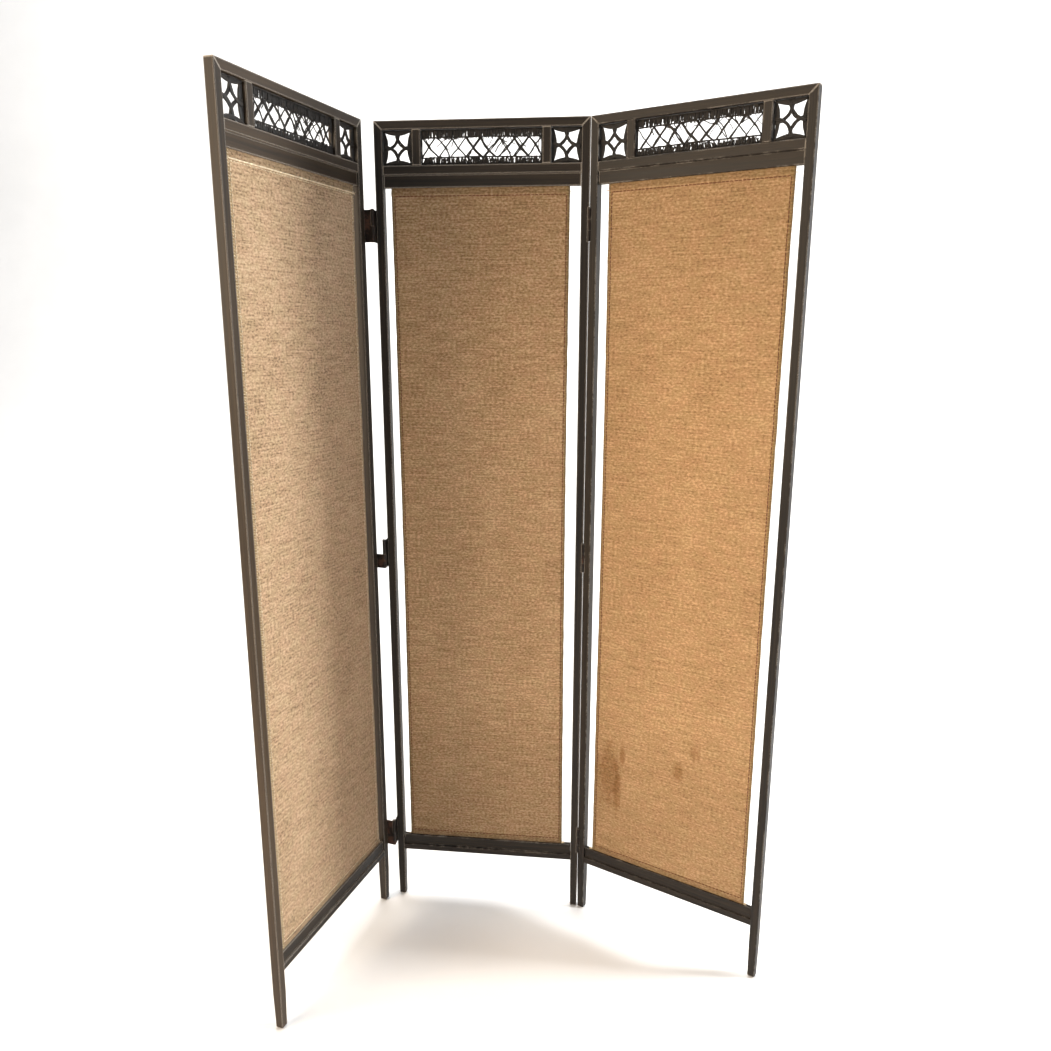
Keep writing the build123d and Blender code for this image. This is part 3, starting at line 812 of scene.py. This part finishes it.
def cloth_sheet(shape, cloth, seed):
    """A closed sheet of cloth, uneven where its yarns are lumpy."""
    chance = random.Random(seed)
    heights = even_steps(shape.length, cloth.lump_height)
    widths = even_steps(shape.width, cloth.lump_width)
    front, back = [], []
    for z in heights:
        row_lift = chance.uniform(-0.3, 0.3)
        for x in widths:
            lift = cloth.lump_relief * (row_lift + chance.uniform(-1, 1))
            if not shape.bottom_edge < z < shape.top_edge:
                lift = 0.0
            across, belly = shape.middle(x, z)
            half = shape.thickness(x, z)
            front.append((across, belly - half - lift, z))
            back.append((across, belly + half - lift, z))
    wide = len(widths)
    last_row, last_column = len(heights) - 1, wide - 1
    offset = len(front)
    faces = []
    for row in range(last_row):
        for column in range(last_column):
            corner = row * wide + column
            quad = (corner, corner + 1, corner + wide + 1, corner + wide)
            faces.append(quad)
            faces.append(tuple(offset + index for index in reversed(quad)))
    rim = list(range(wide))
    rim += [row * wide + last_column for row in range(1, last_row + 1)]
    rim += [last_row * wide + column for column in range(last_column - 1, -1, -1)]
    rim += [row * wide for row in range(last_row - 1, 0, -1)]
    for here, there in zip(rim, rim[1:] + rim[:1]):
        faces.append((there, here, offset + here, offset + there))
    sheet = MeshParts()
    sheet.vertices = front + back
    sheet.faces = faces
    return sheet


STITCH = 0.0068
STITCH_GAP = 0.0012
STITCH_DROP = 0.004
STITCH_PROFILE = ((0.0, 0.55), (0.18, 0.95), (0.5, 1.1), (0.82, 0.95), (1.0, 0.55))
THREAD_RADIUS = 0.0008
THREAD_SIDES = 5


def run_stitches(parts, shape, start, end):
    """Running stitches on both faces of a cloth, between two points (X, Z) on it."""
    start, end = Vector(start), Vector(end)
    run = (end - start).length
    count = int(run / (STITCH + STITCH_GAP))
    ahead = (end - start) / run
    radii = [THREAD_RADIUS * size for _, size in STITCH_PROFILE]
    for index in range(count):
        begin = start + ahead * (index * run / count)
        for face in (-1, 1):
            points = []
            for share, _ in STITCH_PROFILE:
                x, z = begin + ahead * (STITCH * share)
                lift = THREAD_RADIUS * (1.5 * math.sin(math.pi * share) - 0.2)
                points.append(shape.off_face(x, z, face, lift))
            parts.tube(points, radii, THREAD_SIDES)


def hem_stitches(shape):
    """Stitches round a cloth, inside its selvedges and hems."""
    stitches = MeshParts()
    inset, outset = shape.selvedge_width, shape.width - shape.selvedge_width
    upper_left = (inset, shape.hem_line(inset) - STITCH_DROP)
    upper_right = (outset, shape.hem_line(outset) - STITCH_DROP)
    lower_left, lower_right = (inset, shape.seam_z), (outset, shape.seam_z)
    rows = ((upper_left, upper_right), (lower_left, lower_right))
    columns = ((lower_left, upper_left), (lower_right, upper_right))
    for start, end in (*rows, *columns):
        run_stitches(stitches, shape, start, end)
    return stitches


BIND_PITCH = 0.0048
BIND_REACH = 0.0046
BIND_RADIUS = 0.00055
BIND_POINTS = 6
BIND_MARGIN = 0.001


def edge_binding(shape):
    """Overcast thread wound round both side edges of a cloth, from its lower hem to its upper one."""
    edges = MeshParts()
    span = shape.top_edge - shape.bottom_edge
    loops = int(span / BIND_PITCH)
    for side in (-1, 1):
        points = []
        for index in range(loops * BIND_POINTS):
            turn = index / BIND_POINTS
            z = shape.bottom_edge + BIND_MARGIN + turn * (span - 2 * BIND_MARGIN) / loops
            phase = 2 * math.pi * turn
            inward = BIND_REACH * (0.5 - 0.56 * math.cos(phase))
            x = inward if side < 0 else shape.width - inward
            on_cloth = max(0.0, min(shape.width, x))
            across, belly = shape.middle(on_cloth, z)
            half = shape.thickness(on_cloth, z) + BIND_RADIUS
            points.append((across + x - on_cloth, belly + half * math.sin(phase) * 1.15, z))
        edges.tube(points, [BIND_RADIUS] * len(points), THREAD_SIDES)
    return edges


ROLL_STEPS = 140


def hem_roll(shape, radius):
    """A lumpy roll along the lower edge of the upper hem."""
    points, radii = [], []
    for index in range(ROLL_STEPS + 1):
        x = shape.width * index / ROLL_STEPS
        points.append(shape.off_face(x, shape.hem_line(x), -1, 0.2 * radius))
        radii.append(radius * (1 + 0.6 * noise.noise((70 * x, shape.seed, 4))))
    roll = MeshParts()
    roll.tube(points, radii, 8)
    return roll


FRAY_SHARES = (-0.4, 0.0, 0.35, 0.7, 1.0)
FRAY_RADII = (0.0005, 0.0005, 0.00045, 0.0004, 0.00025)
LOWER_FRAYS = 7
UPPER_FRAYS = 4


def fray_corner(parts, shape, side, z, count, chance):
    """Loose yarn ends that stick out sideways from a corner of a cloth."""
    for _ in range(count):
        height = z + chance.uniform(-0.002, 0.004)
        reach = chance.uniform(0.004, 0.0085)
        droop = chance.uniform(-0.003, 0.004)
        start = shape.middle(0.0 if side < 0 else shape.width, height)[0]
        depth = chance.uniform(-0.0012, 0.0006)
        points = []
        for share in FRAY_SHARES:
            curl = droop * share * abs(share) + chance.uniform(-0.0004, 0.0004)
            points.append((start + side * reach * share, depth * (1 + share), height + curl))
        parts.tube(points, FRAY_RADII, THREAD_SIDES)


def corner_frays(shape, seed):
    """Loose yarn ends at all four corners of a cloth."""
    frays = MeshParts()
    chance = random.Random(seed)
    for side in (-1, 1):
        fray_corner(frays, shape, side, shape.bottom_edge, LOWER_FRAYS, chance)
        upper = shape.hem_line(0 if side < 0 else shape.width)
        fray_corner(frays, shape, side, upper, UPPER_FRAYS, chance)
    return frays


# Frets
def bend(start, middle, end, count):
    """Points on a smooth curve through three points."""
    start, middle, end = Vector(start), Vector(middle), Vector(end)
    control = 2 * middle - (start + end) / 2
    points = []
    for index in range(count):
        share = index / (count - 1)
        points.append((1 - share) ** 2 * start + 2 * share * (1 - share) * control + share ** 2 * end)
    return points


def twig(parts, points, radius, chance, wobble=0.0005, sides=8):
    """A slightly crooked twig along points, with a swelling here and there."""
    seed = chance.uniform(0, 100)
    knot = chance.uniform(0.2, 0.8)
    crooked, radii = [], []
    for index, point in enumerate(points):
        share = index / (len(points) - 1)
        loose = wobble * math.sin(math.pi * share)
        sway = Vector((noise.noise((3 * share, seed, 0)), 0.5 * noise.noise((3 * share, seed, 9)),
                       noise.noise((3 * share, seed, 5))))
        crooked.append(point + loose * 2 * sway)
        swell = 0.22 * math.exp(-((share - knot) / 0.05) ** 2)
        radii.append(radius * (1 + 0.16 * noise.noise((6 * share, seed, 2)) + swell))
    parts.tube(crooked, radii, sides)


def fret_cell(panel, piece):
    """Place of a fret cell's middle, and half its width, depth and height."""
    low, high = own_box(panel, piece)
    half = (high - low) / 2
    return PLACES[panel] @ Matrix.Translation((low + high) / 2), half


BORDER_SIZE = 0.75
ARC_POINTS = 16
SIDE_ARCS = ((1.0, 1.0), (0.62, 0.8), (0.28, 0.7))
RAIL_BOW = 0.0012
STICK_SPACING = 0.75
UPPER_STICK_LEAN = 0.0022
LOWER_STICK_LEAN = 0.0058


def within(value, limit):
    """A value held between a limit's negative and the limit."""
    return max(-limit, min(limit, value))


def border_twigs(parts, half, radius, chance):
    """Four straight twigs round the inside of a cell."""
    wide, tall = half.x - 1.05 * radius, half.z - 1.05 * radius
    for sign in (-1, 1):
        level, side = sign * tall, sign * wide
        across = bend((-wide, 0, level), (0, 0, level), (wide, 0, level), 12)
        twig(parts, across, radius, chance, 0.0)
        upright = bend((side, 0, -tall), (side, 0, 0), (side, 0, tall), 12)
        twig(parts, upright, radius, chance, 0.0)


def corner_fret_parts(half, fret, chance):
    """Twigs of a small cell: nested arcs off each side and a doubled arc round each corner."""
    parts = MeshParts()
    radius = fret.twig_radius
    border_twigs(parts, half, BORDER_SIZE * radius, chance)
    wide, tall = half.x - radius, half.z - radius
    near, far = -0.6 * radius, 0.6 * radius
    for sign in (-1, 1):
        level, edge = sign * tall, sign * wide
        for share, size in SIDE_ARCS:
            rise = sign * share * fret.arc_rise
            line = bend((-wide, near, level), (0, near, level - rise), (wide, near, level), ARC_POINTS)
            twig(parts, line, size * radius, chance)
            line = bend((edge, far, -tall), (edge - rise, far, 0), (edge, far, tall), ARC_POINTS)
            twig(parts, line, size * radius, chance)
    reach_x, reach_z = 2 * wide * fret.corner_share, 2 * tall * fret.corner_share
    slant = math.sqrt(0.5)
    for side in (-1, 1):
        for level in (-1, 1):
            depth = near if side == level else far
            for inset in (-0.75 * radius, 0.75 * radius):
                out_x, out_z = reach_x - inset, reach_z - inset
                start = (side * wide, depth, level * (tall - out_z))
                middle = (side * (wide - slant * out_x), depth, level * (tall - slant * out_z))
                end = (side * (wide - out_x), depth, level * tall)
                line = bend(start, middle, end, ARC_POINTS)
                twig(parts, line, radius * chance.uniform(0.9, 1.1), chance)
    return parts


def stick_row(parts, half, fret, line, level, lean, chance):
    """A bowed rail across the long cell, and the short sticks between it and the cell's edge."""
    radius = fret.twig_radius
    wide, tall = half.x - radius, half.z - 1.2 * radius
    rail = bend((-wide, 0, line), (0, 0, line + RAIL_BOW), (wide, 0, line), 40)
    twig(parts, rail, 0.8 * radius, chance, 0.0007)
    seed = chance.uniform(0, 100)
    count = int(2 * wide / (STICK_SPACING * fret.stick_radius))
    for index in range(count):
        x = -wide + 2 * wide * (index + 0.5) / count
        past = 0.004 * noise.noise((18 * x, seed, 0)) + chance.uniform(-0.004, 0.003)
        depth = chance.uniform(-0.0016, 0.0016)
        top = Vector((x, depth, level * tall))
        foot = Vector((within(x + chance.uniform(-lean, lean), wide), depth, line - level * past))
        size = fret.stick_radius * chance.uniform(0.6, 1.15)
        twig(parts, bend(top, (top + foot) / 2, foot, 6), size, chance, 0.0006, 6)


def crossed_strands(parts, wide, upper, lower, fret, chance):
    """Slanting strands, single or doubled, that cross between the two rows of sticks."""
    radius = fret.twig_radius
    run = 2 * wide / fret.crossings
    center = (upper + lower) / 2
    for slope in (-1, 1):
        first, last = (lower, upper) if slope > 0 else (upper, lower)
        for index in range(fret.crossings):
            start = -wide + index * run + chance.uniform(-0.004, 0.004)
            end = start + run + chance.uniform(-0.006, 0.006)
            sag = chance.uniform(-0.0045, 0.0045)
            for strand in range(chance.choice((1, 2, 2))):
                shift = strand * 1.3 * radius
                near, far = within(start + shift, wide), within(end + shift, wide)
                depth = 0.7 * slope * radius + chance.uniform(-0.0005, 0.0005)
                middle = ((near + far) / 2 + sag, depth, center + sag)
                line = bend((near, depth, first), middle, (far, depth, last), 12)
                twig(parts, line, radius * chance.uniform(0.6, 0.95), chance, 0.0012)


def loose_wisps(parts, wide, upper, lower, fret, chance):
    """Thin strands that hang from the upper row of sticks."""
    radius = fret.twig_radius
    for _ in range(fret.wisps):
        start = chance.uniform(-wide, wide)
        end = within(start + chance.uniform(-0.03, 0.03), wide)
        depth = chance.uniform(-radius, radius)
        drop = upper - chance.uniform(0.15, 0.9) * (upper - lower)
        middle = ((start + end) / 2, depth, (upper + drop) / 2 + chance.uniform(-0.004, 0.004))
        line = bend((start, depth, upper), middle, (end, depth, drop), 10)
        twig(parts, line, radius * chance.uniform(0.3, 0.65), chance, 0.0014)


def long_fret_parts(half, fret, chance):
    """Twigs of the long cell: rows of short sticks at top and bottom, crossed strands between them."""
    parts = MeshParts()
    border_twigs(parts, half, BORDER_SIZE * fret.twig_radius, chance)
    wide = half.x - fret.twig_radius
    upper, lower = half.z - fret.upper_band, fret.lower_band - half.z
    stick_row(parts, half, fret, upper, 1, UPPER_STICK_LEAN, chance)
    stick_row(parts, half, fret, lower, -1, LOWER_STICK_LEAN, chance)
    crossed_strands(parts, wide, upper, lower, fret, chance)
    loose_wisps(parts, wide, upper, lower, fret, chance)
    return parts


# Stage
COOL_LIGHT = (0.97, 0.99, 1.0)
WARM_LIGHT = (1.0, 0.80, 0.58)
SKY_LIGHT = (0.95, 0.97, 1.0)
WHITE_LIGHT = (1.0, 1.0, 1.0)


def camera_axes(stage):
    """Camera's right, up and back directions from its pan, pitch and roll."""
    pan, pitch, roll = stage.camera_pan, stage.camera_pitch, stage.camera_roll
    ahead = Vector((math.sin(pan) * math.cos(pitch), math.cos(pan) * math.cos(pitch), -math.sin(pitch)))
    level = ahead.cross(Vector((0, 0, 1))).normalized()
    upright = level.cross(ahead)
    right = math.cos(roll) * level + math.sin(roll) * upright
    up = math.cos(roll) * upright - math.sin(roll) * level
    return right, up, -ahead


def add_area_light(name, spot, target, size, watts, shade):
    """A soft square light that looks at a target."""
    lamp = bpy.data.lights.new(name, "AREA")
    lamp.size = size
    lamp.energy = watts
    lamp.color = shade
    light = bpy.data.objects.new(name, lamp)
    light.location = spot
    light.rotation_euler = (Vector(target) - Vector(spot)).to_track_quat("-Z", "Y").to_euler()
    bpy.context.scene.collection.objects.link(light)


def sweep_mesh(half_width, front, back, height, curve, steps):
    """A floor that curves up into a backdrop."""
    profile = [(front, 0.0), (back - curve, 0.0)]
    for step in range(1, steps + 1):
        turn = math.pi / 2 * step / steps
        profile.append((back - curve + curve * math.sin(turn), curve - curve * math.cos(turn)))
    profile.append((back, height))
    vertices = [(x, y, z) for y, z in profile for x in (-half_width, half_width)]
    faces = [(2 * i, 2 * i + 1, 2 * i + 3, 2 * i + 2) for i in range(len(profile) - 1)]
    mesh = bpy.data.meshes.new("studio_sweep")
    mesh.from_pydata(vertices, [], faces)
    mesh.shade_smooth()
    return mesh


# Operators
class DIVIDER_OT_stain_frames(bpy.types.Operator):
    """Stain the stiles, rails, mullions and battens"""

    bl_idname = "divider.stain_frames"
    bl_label = "Stain Frames"

    def execute(self, context):
        wood = context.scene.divider_wood
        amounts = zip(wood.wear_and_highlight_amounts, wood.low_wear_and_highlight_amounts, wood.painted_sun_amounts)
        for panel, (wear_and_highlight, low_wear_and_highlight, sun_paint) in zip(PANELS, amounts):
            upright = wood_material(f"{panel}_upright_wood", panel, True, wood, wear_and_highlight, sun_paint)
            high = wood_material(f"{panel}_high_rail_wood", panel, False, wood, wear_and_highlight, sun_paint)
            low = wood_material(f"{panel}_low_rail_wood", panel, False, wood, low_wear_and_highlight, LOW_RAIL_SUN_PAINT * sun_paint)
            for pieces, material in ((UPRIGHTS, upright), (HIGH_RAILS, high), (LOW_RAILS, low)):
                for piece in pieces:
                    paint(f"{panel}_panel_{piece}", material)
        return {"FINISHED"}


SHEET_SEED = 40
FRAY_SEED = 60
FRET_SEED = 100


class DIVIDER_OT_weave_cloths(bpy.types.Operator):
    """Weave the panels' cloths, sew their hems, bind their side edges and fray their corners"""

    bl_idname = "divider.weave_cloths"
    bl_label = "Weave Cloths"

    def execute(self, context):
        cloth = context.scene.divider_cloth
        sewing = thread_material("sewing_thread", cloth.thread)
        pale = thread_material("pale_thread", cloth.pale_thread)
        olive = thread_material("olive_thread", cloth.olive_thread)
        for number, panel in enumerate(PANELS):
            look = CLOTH_LOOKS[panel]
            shape = ClothShape(panel, cloth, look)
            material = cloth_material(f"{panel}_weave", cloth, shape, look)
            sheet = cloth_sheet(shape, cloth, SHEET_SEED + number)
            piece = sheet.build(f"{panel}_panel_cloth_sheet", shape.place, material)
            hem_thread, edge_thread = (pale, pale) if panel == "left" else (sewing, olive)
            frays = corner_frays(shape, FRAY_SEED + number)
            trims = [
                hem_stitches(shape).build(f"{panel}_panel_hem_stitches", shape.place, hem_thread),
                edge_binding(shape).build(f"{panel}_panel_edge_binding", shape.place, edge_thread),
                frays.build(f"{panel}_panel_corner_frays", shape.place, pale),
            ]
            # The roll takes the pale thread colour, a painted highlight where it catches light from above.
            if look.roll_radius:
                roll = hem_roll(shape, look.roll_radius)
                trims.append(roll.build(f"{panel}_panel_hem_roll", shape.place, pale))
            for part in (piece, *trims):
                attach(part, f"{panel}_panel")
            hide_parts(f"{panel}_panel_woven_cloth")
        return {"FINISHED"}


class DIVIDER_OT_bend_frets(bpy.types.Operator):
    """Bend the twigs that fill the cells under the top rails"""

    bl_idname = "divider.bend_frets"
    bl_label = "Bend Frets"

    def execute(self, context):
        fret = context.scene.divider_fret
        bark = bark_material("stained_bark", fret)
        for number, panel in enumerate(PANELS):
            for order, side in enumerate(("left_fret", "right_fret", "center_fret")):
                place, half = fret_cell(panel, side)
                chance = random.Random(FRET_SEED + 10 * number + order)
                make = long_fret_parts if side == "center_fret" else corner_fret_parts
                piece = make(half, fret, chance).build(f"{panel}_panel_{side}_twigs", place, bark)
                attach(piece, f"{panel}_panel")
                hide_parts(f"{panel}_panel_{side}")
        return {"FINISHED"}


METALS = {
    "_center_leaf": ("dark_leaf", 0.0),
    "_wing_leaf": ("rusted_leaf", 0.07),
    "_pins": ("hinge_pin", -0.06),
    "_screws": ("screw_head", -0.02),
}


class DIVIDER_OT_age_hinges(bpy.types.Operator):
    """Age the hinge leaves, pins and screws"""

    bl_idname = "divider.age_hinges"
    bl_label = "Age Hinges"

    def execute(self, context):
        hinge = context.scene.divider_hinge
        for ending, (name, rust_shift) in METALS.items():
            material = hinge_material(name, hinge, rust_shift)
            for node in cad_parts:
                if node.endswith(ending):
                    paint(node, material)
        return {"FINISHED"}


class DIVIDER_OT_set_stage(bpy.types.Operator):
    """Lay the floor, hang the lights and set up the camera"""

    bl_idname = "divider.set_stage"
    bl_label = "Set Stage"

    def execute(self, context):
        scene = context.scene
        stage = scene.divider_stage
        mesh = sweep_mesh(half_width=9.0, front=-6.0, back=5.0, height=7.0, curve=2.5, steps=24)
        sweep = bpy.data.objects.new("studio_sweep", mesh)
        sweep.data.materials.append(floor_material("pale_floor", stage.floor))
        scene.collection.objects.link(sweep)

        middle = (CAD_LOW + CAD_HIGH) / 2
        backdrop = (0.0, 5.0, 2.2)
        add_area_light("key_light", (3.4, 0.19, 1.75), middle, 0.5, stage.key_power, COOL_LIGHT)
        add_area_light("fill_light", (-2.6, -2.1, 2.0), middle, 1.8, stage.fill_power, WARM_LIGHT)
        add_area_light("top_light", (0.0, 0.2, 4.2), middle, 2.5, stage.top_power, SKY_LIGHT)
        add_area_light("backdrop_light", (0.0, 1.6, 6.0), backdrop, 3.0, stage.back_power, WHITE_LIGHT)
        world = bpy.data.worlds.new("studio_sky")
        world.use_nodes = True
        background = next(node for node in world.node_tree.nodes if node.type == "BACKGROUND")
        background.inputs["Color"].default_value = (*SKY_LIGHT, 1)
        background.inputs["Strength"].default_value = stage.sky
        scene.world = world
        scene.view_settings.view_transform = "Standard"

        camera = bpy.data.objects.new("photo_camera", bpy.data.cameras.new("photo_camera"))
        camera.data.sensor_fit = "HORIZONTAL"
        camera.data.lens = stage.focal_share * camera.data.sensor_width
        right, up, back = camera_axes(stage)
        turn = Matrix((right, up, back)).transposed()
        camera.matrix_world = Matrix.Translation(stage.camera_place) @ turn.to_4x4()
        scene.collection.objects.link(camera)
        scene.camera = camera
        return {"FINISHED"}


class DIVIDER_PT_sidebar(bpy.types.Panel):
    """Lists the steps and settings in the 3D view's sidebar"""

    bl_idname = "DIVIDER_PT_sidebar"
    bl_label = "Folding Screen"
    bl_space_type = "VIEW_3D"
    bl_region_type = "UI"
    bl_category = "Folding Screen"

    def draw(self, context):
        column = self.layout.column()
        for step in STEPS:
            column.operator(step.bl_idname)
        for name, group in SETTINGS.items():
            column.label(text=group.__doc__)
            for field in group.__annotations__:
                column.prop(getattr(context.scene, name), field)


STEPS = (
    DIVIDER_OT_set_stage,
    DIVIDER_OT_stain_frames,
    DIVIDER_OT_weave_cloths,
    DIVIDER_OT_bend_frets,
    DIVIDER_OT_age_hinges,
)
SETTINGS = {
    "divider_wood": WoodSettings,
    "divider_cloth": ClothSettings,
    "divider_fret": FretSettings,
    "divider_hinge": HingeSettings,
    "divider_stage": StageSettings,
}


def register():
    """Register the classes and hang the settings on the scene."""
    for group in SETTINGS.values():
        bpy.utils.register_class(group)
    for step in STEPS:
        bpy.utils.register_class(step)
    bpy.utils.register_class(DIVIDER_PT_sidebar)
    for name, group in SETTINGS.items():
        setattr(bpy.types.Scene, name, PointerProperty(type=group))


def unregister():
    """Undo what register did."""
    for name in SETTINGS:
        delattr(bpy.types.Scene, name)
    bpy.utils.unregister_class(DIVIDER_PT_sidebar)
    for kind in (*STEPS, *SETTINGS.values()):
        bpy.utils.unregister_class(kind)


def main():
    """Register the steps and dress the screen."""
    register()
    bpy.ops.divider.set_stage()
    bpy.ops.divider.stain_frames()
    bpy.ops.divider.weave_cloths()
    bpy.ops.divider.bend_frets()
    bpy.ops.divider.age_hinges()


if __name__ == "__main__":
    main()
